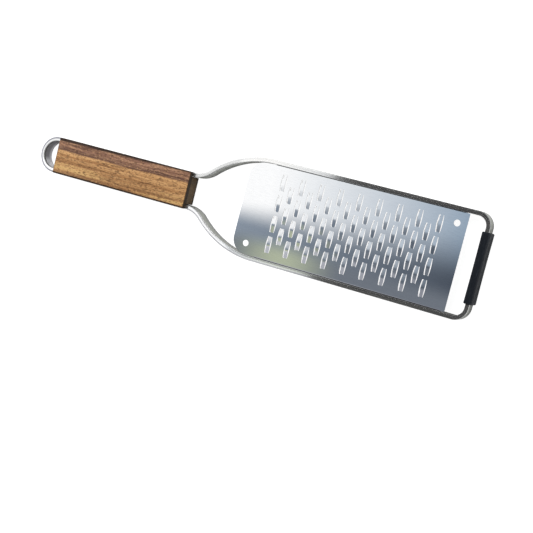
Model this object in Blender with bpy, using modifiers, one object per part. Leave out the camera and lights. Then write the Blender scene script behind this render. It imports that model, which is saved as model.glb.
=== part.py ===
"""Hand grater for ribbons: a steel loop, a grating blade, a wood handle and a rubber foot.

Metres, +Z up. The grater lies on its back: X runs from the hanging loop to the tip, Y across the blade,
and +Z out of the grating face. The origin is under the middle of the whole part, on the surface it lies on.
"""
import math

import bmesh
import bpy
from mathutils import Vector

# Clearance between neighbouring pieces, and how far a cut or a joined shape runs past the face it meets
FIT = 0.0003
OVERRUN = 0.001

# Mesh finish: points nearer than this are one point, and faces that meet at more than these angles (degrees)
# keep a sharp edge in the shading or are rounded
WELD_DISTANCE = 0.000001
SHARP_SHADING_ANGLE = 35
ROUNDED_EDGE_ANGLE = 50

# Steel loop: one flat bar on edge, bent to a closed outline and joined under the foot
BAR_THICKNESS = 0.0028
BAR_WIDTH = 0.0095
BAR_EDGE_CHAMFER = 0.00035
BLADE_END_WIDTH = 0.068
HANDLE_END_WIDTH = 0.025
NECK_BEND_RADIUS = 0.0175
SHOULDER_BEND_RADIUS = 0.064
TIP_CORNER_RADIUS = 0.0076
HANGING_BEND_STEPS = 10
NECK_BEND_STEPS = 7
SHOULDER_BEND_STEPS = 10
TIP_CORNER_STEPS = 7

# Wood handle: a block that sits between the bars, with a front flange over their edges
HANDLE_LENGTH = 0.1066
HANDLE_HANGING_BEND_GAP = 0.003
HANDLE_NECK_BEND_GAP = 0.0004
HANDLE_SIDE_OVERHANG = 0.0001
HANDLE_FLANGE_HEIGHT = 0.004
HANDLE_EDGE_RADIUS = 0.0009
HANDLE_EDGE_STEPS = 3

# Grating blade: an etched sheet with turned-down side lips, set just below the front edges of the bars
BLADE_LENGTH = 0.149
BLADE_REAR_REACH = 0.0158
BLADE_TIP_GAP = 0.0113
BLADE_THICKNESS = 0.0005
BLADE_RECESS = 0.0006
BLADE_REAR_CORNER_RADIUS = 0.010
BLADE_TIP_CORNER_RADIUS = 0.0006
BLADE_REAR_CORNER_STEPS = 9
BLADE_SHOULDER_STEPS = 6
BLADE_TIP_CORNER_STEPS = 2
LIP_DEPTH = 0.0045
LIP_THICKNESS = 0.0006
LIP_REAR_SETBACK = 0.0015
LIP_TIP_SETBACK = 0.003
LOCATING_HOLE_DIAMETER = 0.0042
LOCATING_HOLE_EDGE_INSET = 0.0074
LOCATING_HOLE_REAR_INSET = 0.0094
LOCATING_HOLE_TIP_INSET = 0.0065
LOCATING_HOLE_STEPS = 20

# Ribbons: raised bridges in staggered rows, each between two slots; the rows and columns fill the blade
# between the margins
RIBBON_LENGTH = 0.011
RIBBON_WIDTH = 0.0032
RIBBON_BEVEL = 0.0005
RIBBON_THICKNESS = 0.0004
RIBBON_RISE = 0.0012
RIBBON_ROOT = 0.0004
RIBBON_STEPS = 6
SLOT_WIDTH = 0.0006
RIBBON_END_GAP = 0.00268
WINDOW_SIDE_GAP = 0.00227
PATTERN_SIDE_MARGIN = 0.004
PATTERN_REAR_MARGIN = 0.020
PATTERN_TIP_MARGIN = 0.01674

# Rubber foot: a sleeve on the middle of the tip bar
FOOT_BEND_GAP = 0.0025
FOOT_WALL = 0.0014
FOOT_EDGE_RADIUS = 0.0012
FOOT_EDGE_STEPS = 3
FOOT_END_CHAMFER = 0.00035

# Levels above the surface that the foot lies on
BAR_BACK = FOOT_WALL
BAR_FRONT = BAR_BACK + BAR_WIDTH
BLADE_FRONT = BAR_FRONT - BLADE_RECESS
BLADE_BACK = BLADE_FRONT - BLADE_THICKNESS
HANDLE_FRONT = BAR_FRONT + HANDLE_FLANGE_HEIGHT

# The loop's two widths, on the middle of the bar's thickness, and the bends between them
HANDLE_LINE = HANDLE_END_WIDTH / 2 - BAR_THICKNESS / 2
BLADE_LINE = BLADE_END_WIDTH / 2 - BAR_THICKNESS / 2
FLARE_ANGLE = math.acos(1 - (BLADE_LINE - HANDLE_LINE) / (NECK_BEND_RADIUS + SHOULDER_BEND_RADIUS))
FLARE_LENGTH = (NECK_BEND_RADIUS + SHOULDER_BEND_RADIUS) * math.sin(FLARE_ANGLE)

# Lengths along the part, from the hanging loop to the tip
HANDLE_END_LENGTH = HANDLE_END_WIDTH / 2 + HANDLE_HANGING_BEND_GAP + HANDLE_LENGTH + HANDLE_NECK_BEND_GAP
BLADE_END_LENGTH = BLADE_LENGTH - BLADE_REAR_REACH + BLADE_TIP_GAP + BAR_THICKNESS
LOOP_LENGTH = HANDLE_END_LENGTH + FLARE_LENGTH + BLADE_END_LENGTH

# Places along the part
REAR_END = -(LOOP_LENGTH + FOOT_WALL) / 2
HANDLE_REAR = REAR_END + HANDLE_END_WIDTH / 2 + HANDLE_HANGING_BEND_GAP
NECK_START = REAR_END + HANDLE_END_LENGTH
SHOULDER_END = NECK_START + FLARE_LENGTH
SHOULDER_CENTRE = Vector((SHOULDER_END, BLADE_LINE - SHOULDER_BEND_RADIUS))
BLADE_REAR = SHOULDER_END - BLADE_REAR_REACH
BLADE_TIP = BLADE_REAR + BLADE_LENGTH
TIP_END = REAR_END + LOOP_LENGTH
TIP_BAR_MIDDLE = TIP_END - BAR_THICKNESS / 2
BLADE_HALF_WIDTH = BLADE_LINE - BAR_THICKNESS / 2 - FIT
FOOT_LENGTH = 2 * (BLADE_LINE - TIP_CORNER_RADIUS - FOOT_BEND_GAP)

# The pattern's pitches, the rows that fit on each side of the middle row, and the pitches in a long row
WINDOW_WIDTH = RIBBON_WIDTH + 2 * SLOT_WIDTH
ROW_PITCH = (RIBBON_LENGTH + RIBBON_END_GAP) / 2
COLUMN_PITCH = 2 * (WINDOW_WIDTH + WINDOW_SIDE_GAP)
ROWS_PER_SIDE = int((BLADE_HALF_WIDTH - PATTERN_SIDE_MARGIN - RIBBON_LENGTH / 2) / ROW_PITCH)
LONG_ROW_PITCHES = int((BLADE_LENGTH - PATTERN_REAR_MARGIN - PATTERN_TIP_MARGIN) / COLUMN_PITCH)
LAST_RIBBON = BLADE_TIP - PATTERN_TIP_MARGIN


def clear_scene():
    """Removes every object that the new file holds."""
    for existing in list(bpy.data.objects):
        bpy.data.objects.remove(existing, do_unlink=True)


def new_collection(name):
    """Adds a collection to the scene."""
    collection = bpy.data.collections.new(name)
    bpy.context.scene.collection.children.link(collection)
    return collection


def new_material(name, colour, roughness, metallic):
    """Makes a Principled material in one colour."""
    material = bpy.data.materials.new(name)
    material.use_nodes = True
    shader = material.node_tree.nodes["Principled BSDF"]
    shader.inputs["Base Color"].default_value = (*colour, 1.0)
    shader.inputs["Roughness"].default_value = roughness
    shader.inputs["Metallic"].default_value = metallic
    material.diffuse_color = (*colour, 1.0)
    return material


def arc(centre, radius, start, end, steps):
    """Points along an arc from one angle to another, both ends included."""
    angles = [start + (end - start) * step / steps for step in range(steps + 1)]
    return [Vector((centre[0] + radius * math.cos(a), centre[1] + radius * math.sin(a))) for a in angles]


def mirrored_outline(upper_points):
    """Closes an outline given from rear to tip on the +Y side with its mirror image."""
    lower_points = [Vector((point.x, -point.y)) for point in reversed(upper_points) if abs(point.y) > FIT]
    return upper_points + lower_points


def curve_object(name, outlines, collection):
    """Makes a flat curve object with one closed straight-sided spline for each outline."""
    curve = bpy.data.curves.new(name, "CURVE")
    curve.dimensions = "2D"
    for outline in outlines:
        spline = curve.splines.new("POLY")
        spline.points.add(len(outline) - 1)
        spline.use_cyclic_u = True
        for point, place in zip(spline.points, outline):
            point.co = (place[0], place[1], 0.0, 1.0)
    body = bpy.data.objects.new(name, curve)
    collection.objects.link(body)
    return body


def as_mesh(source, name, collection):
    """Turns a curve object into a welded mesh object in the same place and removes the curve."""
    bpy.context.view_layer.update()
    depsgraph = bpy.context.evaluated_depsgraph_get()
    mesh = bpy.data.meshes.new_from_object(source.evaluated_get(depsgraph))
    mesh.name = name
    shape = bmesh.new()
    shape.from_mesh(mesh)
    bmesh.ops.remove_doubles(shape, verts=shape.verts, dist=WELD_DISTANCE)
    bmesh.ops.recalc_face_normals(shape, faces=shape.faces)
    shape.to_mesh(mesh)
    shape.free()
    body = bpy.data.objects.new(name, mesh)
    body.matrix_world = source.matrix_world
    collection.objects.link(body)
    bpy.data.objects.remove(source, do_unlink=True)
    return body


def box(name, low, high, collection):
    """Makes a box between two corners from a cube primitive, its size in the mesh."""
    shape = bmesh.new()
    bmesh.ops.create_cube(shape, size=1.0)
    size = [upper - lower for lower, upper in zip(low, high)]
    bmesh.ops.scale(shape, vec=size, verts=shape.verts)
    mesh = bpy.data.meshes.new(name)
    shape.to_mesh(mesh)
    shape.free()
    body = bpy.data.objects.new(name, mesh)
    body.location = [(lower + upper) / 2 for lower, upper in zip(low, high)]
    collection.objects.link(body)
    return body


def hide_helper(helper):
    """Leaves a cutter or a guide out of the model."""
    helper.hide_render = True
    helper.display_type = "WIRE"


def add_boolean(body, other, operation, solver="EXACT"):
    """Cuts or joins another object with a Boolean modifier."""
    modifier = body.modifiers.new(other.name, "BOOLEAN")
    modifier.operation = operation
    modifier.solver = solver
    modifier.object = other
    hide_helper(other)


def add_bevel(body, width, steps):
    """Rounds every sharp edge of a body."""
    modifier = body.modifiers.new("Edges", "BEVEL")
    modifier.width = width
    modifier.segments = steps
    modifier.limit_method = "ANGLE"
    modifier.angle_limit = math.radians(ROUNDED_EDGE_ANGLE)


def dress(body, material):
    """Gives a body its one material and smooth round faces."""
    body.data.materials.clear()
    body.data.materials.append(material)
    body.data.shade_smooth()
    body.data.set_sharp_from_angle(angle=math.radians(SHARP_SHADING_ANGLE))


def loop_outline():
    """The loop's outline on the middle of the bar, from the hanging bend over the +Y side and back."""
    quarter = math.pi / 2
    hanging_centre = (REAR_END + HANDLE_END_WIDTH / 2, 0.0)
    hanging_bend = arc(hanging_centre, HANDLE_LINE, math.pi, quarter, HANGING_BEND_STEPS)
    neck_centre = (NECK_START, HANDLE_LINE + NECK_BEND_RADIUS)
    neck_bend = arc(neck_centre, NECK_BEND_RADIUS, -quarter, FLARE_ANGLE - quarter, NECK_BEND_STEPS)
    shoulder_start = FLARE_ANGLE + quarter
    shoulder_bend = arc(SHOULDER_CENTRE, SHOULDER_BEND_RADIUS, shoulder_start, quarter, SHOULDER_BEND_STEPS)
    corner_centre = (TIP_BAR_MIDDLE - TIP_CORNER_RADIUS, BLADE_LINE - TIP_CORNER_RADIUS)
    tip_corner = arc(corner_centre, TIP_CORNER_RADIUS, quarter, 0.0, TIP_CORNER_STEPS)
    return mirrored_outline(hanging_bend + neck_bend + shoulder_bend[1:] + tip_corner)


def bar_section():
    """The bar's cross-section with its small edge chamfers."""
    half_thickness = BAR_THICKNESS / 2
    half_width = BAR_WIDTH / 2
    inner_thickness = half_thickness - BAR_EDGE_CHAMFER
    inner_width = half_width - BAR_EDGE_CHAMFER
    return [
        (half_thickness, inner_width),
        (inner_thickness, half_width),
        (-inner_thickness, half_width),
        (-half_thickness, inner_width),
        (-half_thickness, -inner_width),
        (-inner_thickness, -half_width),
        (inner_thickness, -half_width),
        (half_thickness, -inner_width),
    ]


def build_frame(parts, helpers, material):
    """The bent steel bar, swept along the loop's outline."""
    section = curve_object("bar_section", [bar_section()], helpers)
    section.data.fill_mode = "NONE"
    hide_helper(section)
    path = curve_object("loop_path", [loop_outline()], helpers)
    path.data.fill_mode = "NONE"
    path.data.bevel_mode = "OBJECT"
    path.data.bevel_object = section
    path.location.z = (BAR_BACK + BAR_FRONT) / 2
    frame = as_mesh(path, "frame_loop", parts)
    dress(frame, material)
    return frame


def build_handle(parts, helpers, material):
    """The wood block, rounded first and then cut along both sides for the bars."""
    half_width = HANDLE_END_WIDTH / 2 + HANDLE_SIDE_OVERHANG
    front = HANDLE_REAR + HANDLE_LENGTH
    rear_corner = (HANDLE_REAR, -half_width, BAR_BACK)
    handle = box("wood_handle", rear_corner, (front, half_width, HANDLE_FRONT), parts)
    add_bevel(handle, HANDLE_EDGE_RADIUS, HANDLE_EDGE_STEPS)
    core_half_width = HANDLE_LINE - BAR_THICKNESS / 2 - FIT
    for side, name in ((1, "groove_left"), (-1, "groove_right")):
        sides = sorted((side * core_half_width, side * (half_width + OVERRUN)))
        low = (HANDLE_REAR - OVERRUN, sides[0], BAR_BACK - OVERRUN)
        high = (front + OVERRUN, sides[1], BAR_FRONT + FIT)
        add_boolean(handle, box(name, low, high, helpers), "DIFFERENCE")
    dress(handle, material)
    return handle


def blade_outline():
    """The sheet's outline: square at the tip, rounded at the rear where it follows the shoulder bends."""
    quarter = math.pi / 2
    edge_radius = SHOULDER_BEND_RADIUS - BAR_THICKNESS / 2 - FIT
    corner_x = BLADE_REAR + BLADE_REAR_CORNER_RADIUS
    reach = edge_radius - BLADE_REAR_CORNER_RADIUS
    corner_angle = math.acos((corner_x - SHOULDER_CENTRE.x) / reach)
    corner_centre = (corner_x, SHOULDER_CENTRE.y + reach * math.sin(corner_angle))
    rear_corner = arc(corner_centre, BLADE_REAR_CORNER_RADIUS, math.pi, corner_angle, BLADE_REAR_CORNER_STEPS)
    shoulder_edge = arc(SHOULDER_CENTRE, edge_radius, corner_angle, quarter, BLADE_SHOULDER_STEPS)
    tip_centre = (BLADE_TIP - BLADE_TIP_CORNER_RADIUS, BLADE_HALF_WIDTH - BLADE_TIP_CORNER_RADIUS)
    tip_corner = arc(tip_centre, BLADE_TIP_CORNER_RADIUS, quarter, 0.0, BLADE_TIP_CORNER_STEPS)
    return mirrored_outline(rear_corner + shoulder_edge[1:] + tip_corner)


def ribbon_places():
    """The middle of each ribbon: long and short rows take turns, half a pitch apart, a long one outermost."""
    places = []
    for row in range(-ROWS_PER_SIDE, ROWS_PER_SIDE + 1):
        short = (row + ROWS_PER_SIDE) % 2
        for column in range(LONG_ROW_PITCHES + 1 - short):
            places.append((LAST_RIBBON - (column + short / 2) * COLUMN_PITCH, row * ROW_PITCH))
    return places


def window_outline(place):
    """The opening that one ribbon bridges: its own width and a slot on each side."""
    half_x = WINDOW_WIDTH / 2
    half_y = RIBBON_LENGTH / 2
    corners = ((-half_x, -half_y), (half_x, -half_y), (half_x, half_y), (-half_x, half_y))
    return [(place[0] + x, place[1] + y) for x, y in corners]


def locating_hole(x, y):
    """A round hole in the sheet."""
    return arc((x, y), LOCATING_HOLE_DIAMETER / 2, 0.0, 2 * math.pi, LOCATING_HOLE_STEPS)[:-1]


def ribbon_mesh():
    """One arched ribbon over the origin: a cube, cut along its length, narrowed at the crown and bent up."""
    length = RIBBON_LENGTH + 2 * RIBBON_ROOT
    shape = bmesh.new()
    bmesh.ops.create_cube(shape, size=1.0)
    bmesh.ops.scale(shape, vec=(RIBBON_WIDTH, length, RIBBON_THICKNESS), verts=shape.verts)
    long_edges = [edge for edge in shape.edges if edge.calc_length() > RIBBON_LENGTH]
    bmesh.ops.subdivide_edges(shape, edges=long_edges, cuts=RIBBON_STEPS - 1, use_grid_fill=True)
    for point in shape.verts:
        if point.co.z > 0:
            point.co.x *= 1 - 2 * RIBBON_BEVEL / RIBBON_WIDTH
        along = 2 * point.co.y / length
        point.co.z += RIBBON_RISE * (1 - along * along)
    mesh = bpy.data.meshes.new("ribbon")
    shape.to_mesh(mesh)
    shape.free()
    return mesh


def build_ribbons(helpers):
    """All ribbons as one helper object, to be joined to the sheet."""
    one_ribbon = ribbon_mesh()
    shape = bmesh.new()
    for x, y in ribbon_places():
        made = len(shape.verts)
        shape.from_mesh(one_ribbon)
        shape.verts.ensure_lookup_table()
        bmesh.ops.translate(shape, verts=shape.verts[made:], vec=(x, y, (BLADE_FRONT + BLADE_BACK) / 2))
    mesh = bpy.data.meshes.new("ribbons")
    shape.to_mesh(mesh)
    shape.free()
    ribbons = bpy.data.objects.new("ribbons", mesh)
    helpers.objects.link(ribbons)
    return ribbons


def build_blade(parts, helpers, material):
    """The sheet with its openings, with the ribbons and the two side lips joined to it."""
    hole_y = BLADE_HALF_WIDTH - LOCATING_HOLE_EDGE_INSET
    holes = [
        locating_hole(BLADE_REAR + LOCATING_HOLE_REAR_INSET, -hole_y),
        locating_hole(BLADE_TIP - LOCATING_HOLE_TIP_INSET, hole_y),
    ]
    windows = [window_outline(place) for place in ribbon_places()]
    sheet = curve_object("sheet", [blade_outline()] + windows + holes, helpers)
    sheet.data.fill_mode = "BOTH"
    sheet.data.extrude = BLADE_THICKNESS / 2
    sheet.location.z = (BLADE_FRONT + BLADE_BACK) / 2
    blade = as_mesh(sheet, "grating_blade", parts)
    add_boolean(blade, build_ribbons(helpers), "UNION", "MANIFOLD")
    lip_outer = BLADE_HALF_WIDTH - BLADE_TIP_CORNER_RADIUS
    lip_top = (BLADE_FRONT + BLADE_BACK) / 2
    for side, name in ((1, "lip_left"), (-1, "lip_right")):
        sides = sorted((side * (lip_outer - LIP_THICKNESS), side * lip_outer))
        low = (SHOULDER_END + LIP_REAR_SETBACK, sides[0], BLADE_BACK - LIP_DEPTH)
        high = (BLADE_TIP - LIP_TIP_SETBACK, sides[1], lip_top)
        add_boolean(blade, box(name, low, high, helpers), "UNION")
    dress(blade, material)
    return blade


def rounded_rectangle(width, height, radius, steps):
    """A closed rectangle outline about the origin with round corners."""
    quarter = math.pi / 2
    x, y = width / 2 - radius, height / 2 - radius
    centres = ((x, y), (-x, y), (-x, -y), (x, -y))
    points = []
    for turn, centre in enumerate(centres):
        points += arc(centre, radius, turn * quarter, (turn + 1) * quarter, steps)
    return points


def build_foot(parts, helpers, material):
    """The rubber sleeve round the tip bar."""
    outer = rounded_rectangle(BAR_THICKNESS + 2 * FOOT_WALL, BAR_WIDTH + 2 * FOOT_WALL,
                              FOOT_EDGE_RADIUS, FOOT_EDGE_STEPS)
    bore_x = BAR_THICKNESS / 2 + FIT
    bore_y = BAR_WIDTH / 2 + FIT
    bore = [(-bore_x, -bore_y), (bore_x, -bore_y), (bore_x, bore_y), (-bore_x, bore_y)]
    section = curve_object("foot_section", [outer, bore], helpers)
    section.data.fill_mode = "BOTH"
    section.data.extrude = FOOT_LENGTH / 2
    section.location = (TIP_BAR_MIDDLE, 0.0, (BAR_BACK + BAR_FRONT) / 2)
    section.rotation_euler = (math.pi / 2, 0.0, 0.0)
    foot = as_mesh(section, "rubber_foot", parts)
    add_bevel(foot, FOOT_END_CHAMFER, 1)
    dress(foot, material)
    return foot


def main():
    """Builds the four pieces of the grater."""
    clear_scene()
    parts = new_collection("ribbon_grater")
    helpers = new_collection("cutters_and_guides")
    bar_steel = new_material("satin_bar_steel", (0.62, 0.62, 0.60), 0.28, 1.0)
    blade_steel = new_material("bright_blade_steel", (0.70, 0.71, 0.72), 0.16, 1.0)
    walnut = new_material("oiled_walnut", (0.40, 0.22, 0.10), 0.55, 0.0)
    rubber = new_material("black_rubber", (0.012, 0.013, 0.014), 0.60, 0.0)
    build_frame(parts, helpers, bar_steel)
    build_handle(parts, helpers, walnut)
    build_blade(parts, helpers, blade_steel)
    build_foot(parts, helpers, rubber)


main()
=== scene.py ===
"""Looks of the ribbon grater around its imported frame, in metres, with +Z out of the grating face."""
import logging
import math
from collections.abc import Callable, Iterable, Mapping
from dataclasses import dataclass, field
from enum import Enum
from typing import TypeAlias

import bmesh
import bpy
from mathutils import Matrix, Vector


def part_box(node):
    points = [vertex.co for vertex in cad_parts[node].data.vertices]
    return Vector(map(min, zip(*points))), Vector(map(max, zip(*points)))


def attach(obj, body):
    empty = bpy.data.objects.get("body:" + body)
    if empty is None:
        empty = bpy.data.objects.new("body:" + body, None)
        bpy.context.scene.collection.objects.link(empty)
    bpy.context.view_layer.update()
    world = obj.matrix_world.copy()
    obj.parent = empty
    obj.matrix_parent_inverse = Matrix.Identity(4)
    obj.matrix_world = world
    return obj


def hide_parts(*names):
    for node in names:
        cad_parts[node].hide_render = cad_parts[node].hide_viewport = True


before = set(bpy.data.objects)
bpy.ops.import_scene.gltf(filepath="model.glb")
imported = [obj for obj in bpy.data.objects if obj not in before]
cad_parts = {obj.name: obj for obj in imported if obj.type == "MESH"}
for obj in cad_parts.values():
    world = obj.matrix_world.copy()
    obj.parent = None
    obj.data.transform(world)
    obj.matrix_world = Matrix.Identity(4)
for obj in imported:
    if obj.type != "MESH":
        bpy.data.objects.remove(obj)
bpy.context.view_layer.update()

Colour: TypeAlias = tuple[float, float, float]
Point: TypeAlias = tuple[float, float, float]
Span: TypeAlias = tuple[float, float]
Ring: TypeAlias = list[bmesh.types.BMVert]
Number: TypeAlias = "Wire | float"
Paint: TypeAlias = "Wire | Colour"
Values: TypeAlias = Mapping[str | int, object]

LOG = logging.getLogger("ribbon_grater")
BODY = "root"
WELD_DISTANCE = 0.000001
QUARTER_TURN = math.pi / 2
NOISE_MEAN = 0.5
ZERO_TO_ONE: Span = (0.0, 1.0)


class Slot(Enum):
    """The record's material slots."""

    BAR_STEEL = "bar_steel"
    BLADE_STEEL = "blade_steel"
    WALNUT = "walnut"
    BLACK_RUBBER = "black_rubber"


class Side(Enum):
    """The two long sides of the grater."""

    LEFT = 1
    RIGHT = -1


# Node trees


class Wire:
    """The output of a node. Arithmetic on it adds Math nodes to its tree."""

    def __init__(self, graph: "Graph", socket: bpy.types.NodeSocket) -> None:
        """Wraps one output of a node in a graph's tree."""
        self.graph = graph
        self.socket = socket

    def __add__(self, other: Number) -> "Wire":
        """Sum."""
        return self.graph.maths("ADD", self, other)

    __radd__ = __add__

    def __sub__(self, other: Number) -> "Wire":
        """Difference."""
        return self.graph.maths("SUBTRACT", self, other)

    def __rsub__(self, other: Number) -> "Wire":
        """Difference from a number."""
        return self.graph.maths("SUBTRACT", other, self)

    def __mul__(self, other: Number) -> "Wire":
        """Product."""
        return self.graph.maths("MULTIPLY", self, other)

    __rmul__ = __mul__

    def __truediv__(self, other: Number) -> "Wire":
        """Quotient."""
        return self.graph.maths("DIVIDE", self, other)

    def __rtruediv__(self, other: Number) -> "Wire":
        """Quotient of a number."""
        return self.graph.maths("DIVIDE", other, self)

    def __pow__(self, other: Number) -> "Wire":
        """Power."""
        return self.graph.maths("POWER", self, other)

    def __neg__(self) -> "Wire":
        """Negative."""
        return self.graph.maths("MULTIPLY", self, -1.0)

    def __abs__(self) -> "Wire":
        """Size without sign."""
        return self.graph.maths("ABSOLUTE", self)

    def at_least(self, other: Number) -> "Wire":
        """The larger of two values."""
        return self.graph.maths("MAXIMUM", self, other)

    def at_most(self, other: Number) -> "Wire":
        """The smaller of two values."""
        return self.graph.maths("MINIMUM", self, other)

    def sign(self) -> "Wire":
        """Minus one, zero or one."""
        return self.graph.maths("SIGN", self)

    def ease(self, span: Span) -> "Wire":
        """A smooth run from 0 to 1, while the value goes from the span's start to its end."""
        values = {"Value": self, "From Min": span[0], "From Max": span[1]}
        return self.graph.node("ShaderNodeMapRange", {"interpolation_type": "SMOOTHSTEP"}, values)

    def mix(self, first: Paint, second: Paint) -> "Wire":
        """A colour: the first where the value is 0, and the second where it is 1."""
        one, two = (paint if isinstance(paint, Wire) else (*paint, 1.0) for paint in (first, second))
        return self.graph.node("ShaderNodeMix", {"data_type": "RGBA"}, {0: self, 6: one, 7: two}, 2)

    def output(self, name: str) -> "Wire":
        """Another output of the same node."""
        return Wire(self.graph, self.socket.node.outputs[name])


class Graph:
    """A node tree that is written as expressions."""

    def __init__(self, tree: bpy.types.NodeTree) -> None:
        """Empties the tree that the new nodes go into."""
        self.tree = tree
        self.tree.nodes.clear()

    def make(self, kind: str, settings: Mapping[str, object], values: Values) -> bpy.types.Node:
        """Adds one node.

        Args:
            kind: the node's type.
            settings: the node's own settings, which are set first.
            values: a number, a colour, a wire or a list of wires for each socket.

        Returns:
            The new node.
        """
        made = self.tree.nodes.new(kind)
        for name, setting in settings.items():
            setattr(made, name, setting)
        for name, value in values.items():
            socket = made.inputs[name]
            if isinstance(value, Wire):
                self.tree.links.new(value.socket, socket)
            elif isinstance(value, list):
                for wire in reversed(value):
                    self.tree.links.new(wire.socket, socket)
            else:
                socket.default_value = value
        return made

    def node(
        self,
        kind: str,
        settings: Mapping[str, object] | None = None,
        values: Values | None = None,
        output: str | int = 0,
    ) -> Wire:
        """Adds one node, as make does, and wraps the output of the given name or number."""
        made = self.make(kind, settings or {}, values or {})
        return Wire(self, made.outputs[output])

    def maths(self, operation: str, *operands: Number) -> Wire:
        """The result of a Math node's operation on numbers or wires."""
        return self.node("ShaderNodeMath", {"operation": operation}, dict(enumerate(operands)))

    def parts(self, vector: Wire) -> tuple[Wire, Wire, Wire]:
        """The X, Y and Z of a vector."""
        x = self.node("ShaderNodeSeparateXYZ", values={0: vector})
        return x, x.output("Y"), x.output("Z")

    def joined(self, *parts: Number) -> Wire:
        """A vector from three numbers or wires."""
        return self.node("ShaderNodeCombineXYZ", values=dict(enumerate(parts)))


class ShaderGraph(Graph):
    """The nodes of a material or of the world."""

    def attribute(self, name: str) -> Wire:
        """A number that is stored on the mesh."""
        return self.node("ShaderNodeAttribute", {"attribute_name": name}, output="Fac")

    def place(self) -> tuple[Wire, Wire, Wire]:
        """The surface point's X, Y and Z in the piece's own coordinates, in metres."""
        return self.parts(self.node("ShaderNodeTexCoord", output="Object"))

    def bump(self, height: Wire, distance: float, strength: float = 1.0) -> Wire:
        """The surface's direction, tilted by a height from 0 to 1 that stands for a distance."""
        values = {"Strength": strength, "Distance": distance, "Height": height}
        return self.node("ShaderNodeBump", values=values)

    def principled(self, values: Values) -> Wire:
        """A Principled shader with the given sockets."""
        return self.node("ShaderNodeBsdfPrincipled", values=values)


@dataclass(frozen=True)
class Grain:
    """Noise by the number of its cells in a metre along each axis, its finer layers and their strength."""

    cells: Point
    detail: float = 2.0
    roughness: float = 0.5

    def at(self, graph: ShaderGraph, place: Iterable[Number]) -> Wire:
        """Reads the noise.

        Args:
            graph: the graph that it is used in.
            place: the X, Y and Z where it is read, in metres.

        Returns:
            The noise, about NOISE_MEAN.
        """
        stretched = graph.joined(*(axis * cells for axis, cells in zip(place, self.cells)))
        values = {"Vector": stretched, "Scale": 1.0, "Detail": self.detail, "Roughness": self.roughness}
        return graph.node("ShaderNodeTexNoise", values=values, output="Fac")


def new_material(name: str, shader: Callable[[ShaderGraph], Wire]) -> bpy.types.Material:
    """Makes a material.

    Args:
        name: the material's name.
        shader: builds its shader in a graph.

    Returns:
        The material.
    """
    material = bpy.data.materials.new(name)
    material.use_nodes = True
    graph = ShaderGraph(material.node_tree)
    graph.make("ShaderNodeOutputMaterial", {}, {"Surface": shader(graph)})
    return material


class GeometryGraph(Graph):
    """A Geometry Nodes tree whose named inputs come with their values."""

    SOCKETS: dict[type, str] = {
        float: "NodeSocketFloat",
        int: "NodeSocketInt",
        tuple: "NodeSocketVector",
        bpy.types.Material: "NodeSocketMaterial",
    }

    def __init__(self, name: str, inputs: Mapping[str, object]) -> None:
        """Makes the tree and its inputs.

        Args:
            name: the tree's name.
            inputs: the value of each named input, with the material as "Material".
        """
        super().__init__(bpy.data.node_groups.new(name, "GeometryNodeTree"))
        self.values = inputs
        panel = self.tree.interface
        panel.new_socket("Geometry", in_out="INPUT", socket_type="NodeSocketGeometry")
        for label, value in inputs.items():
            panel.new_socket(label, in_out="INPUT", socket_type=self.SOCKETS[type(value)])
        panel.new_socket("Geometry", in_out="OUTPUT", socket_type="NodeSocketGeometry")
        self.entry = self.node("NodeGroupInput")

    def given(self, name: str) -> Wire:
        """A named input of the tree."""
        return self.entry.output(name)

    def here(self) -> tuple[Wire, Wire, Wire]:
        """The X, Y and Z of each point."""
        return self.parts(self.node("GeometryNodeInputPosition"))

    def placed(self, geometry: Wire, position: Wire) -> Wire:
        """A geometry with its points at new positions."""
        return self.node("GeometryNodeSetPosition", values={"Geometry": geometry, "Position": position})

    def shifted(self, geometry: Wire, translation: Wire) -> Wire:
        """A geometry that is moved as a whole."""
        return self.node("GeometryNodeTransform", values={"Geometry": geometry, "Translation": translation})

    def together(self, *geometries: Wire) -> Wire:
        """Geometries joined into one."""
        return self.node("GeometryNodeJoinGeometry", values={"Geometry": list(geometries)})

    def copies(self, points: Wire, instance: Wire) -> Wire:
        """A geometry repeated at each point."""
        return self.node("GeometryNodeInstanceOnPoints", values={"Points": points, "Instance": instance})

    def thickened(self, face: Wire, thickness: Wire) -> Wire:
        """A face closed by its thickness below it, with double points along its upper edges."""
        down = {"Mesh": face, "Offset": (0.0, 0.0, -1.0), "Offset Scale": thickness, "Individual": False}
        return self.together(face, self.node("GeometryNodeExtrudeMesh", {"mode": "FACES"}, down))

    def store(self, geometry: Wire, name: str, value: Wire) -> Wire:
        """Keeps a number on each point of a geometry under a name."""
        values = {"Geometry": geometry, "Name": name, "Value": value}
        return self.node("GeometryNodeStoreNamedAttribute", {"data_type": "FLOAT", "domain": "POINT"}, values)

    def grown(self, name: str, seed: bpy.types.Mesh, geometry: Wire) -> bpy.types.Mesh:
        """Ends the tree and runs it on a mesh with the inputs' values.

        Args:
            name: the new mesh's name.
            seed: the mesh that the tree starts from.
            geometry: the tree's finished geometry.

        Returns:
            The result as a plain mesh.
        """
        real = self.node("GeometryNodeRealizeInstances", values={"Geometry": geometry})
        painting = {"Geometry": real, "Material": self.given("Material")}
        painted = self.node("GeometryNodeSetMaterial", values=painting)
        self.make("NodeGroupOutput", {}, {"Geometry": painted})
        host = linked(name, seed)
        modifier = host.modifiers.new(self.tree.name, "NODES")
        modifier.node_group = self.tree
        for item in self.tree.interface.items_tree:
            if item.in_out == "INPUT" and item.name in self.values:
                modifier[item.identifier] = self.values[item.name]
        return applied(host)


# Meshes and objects


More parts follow.
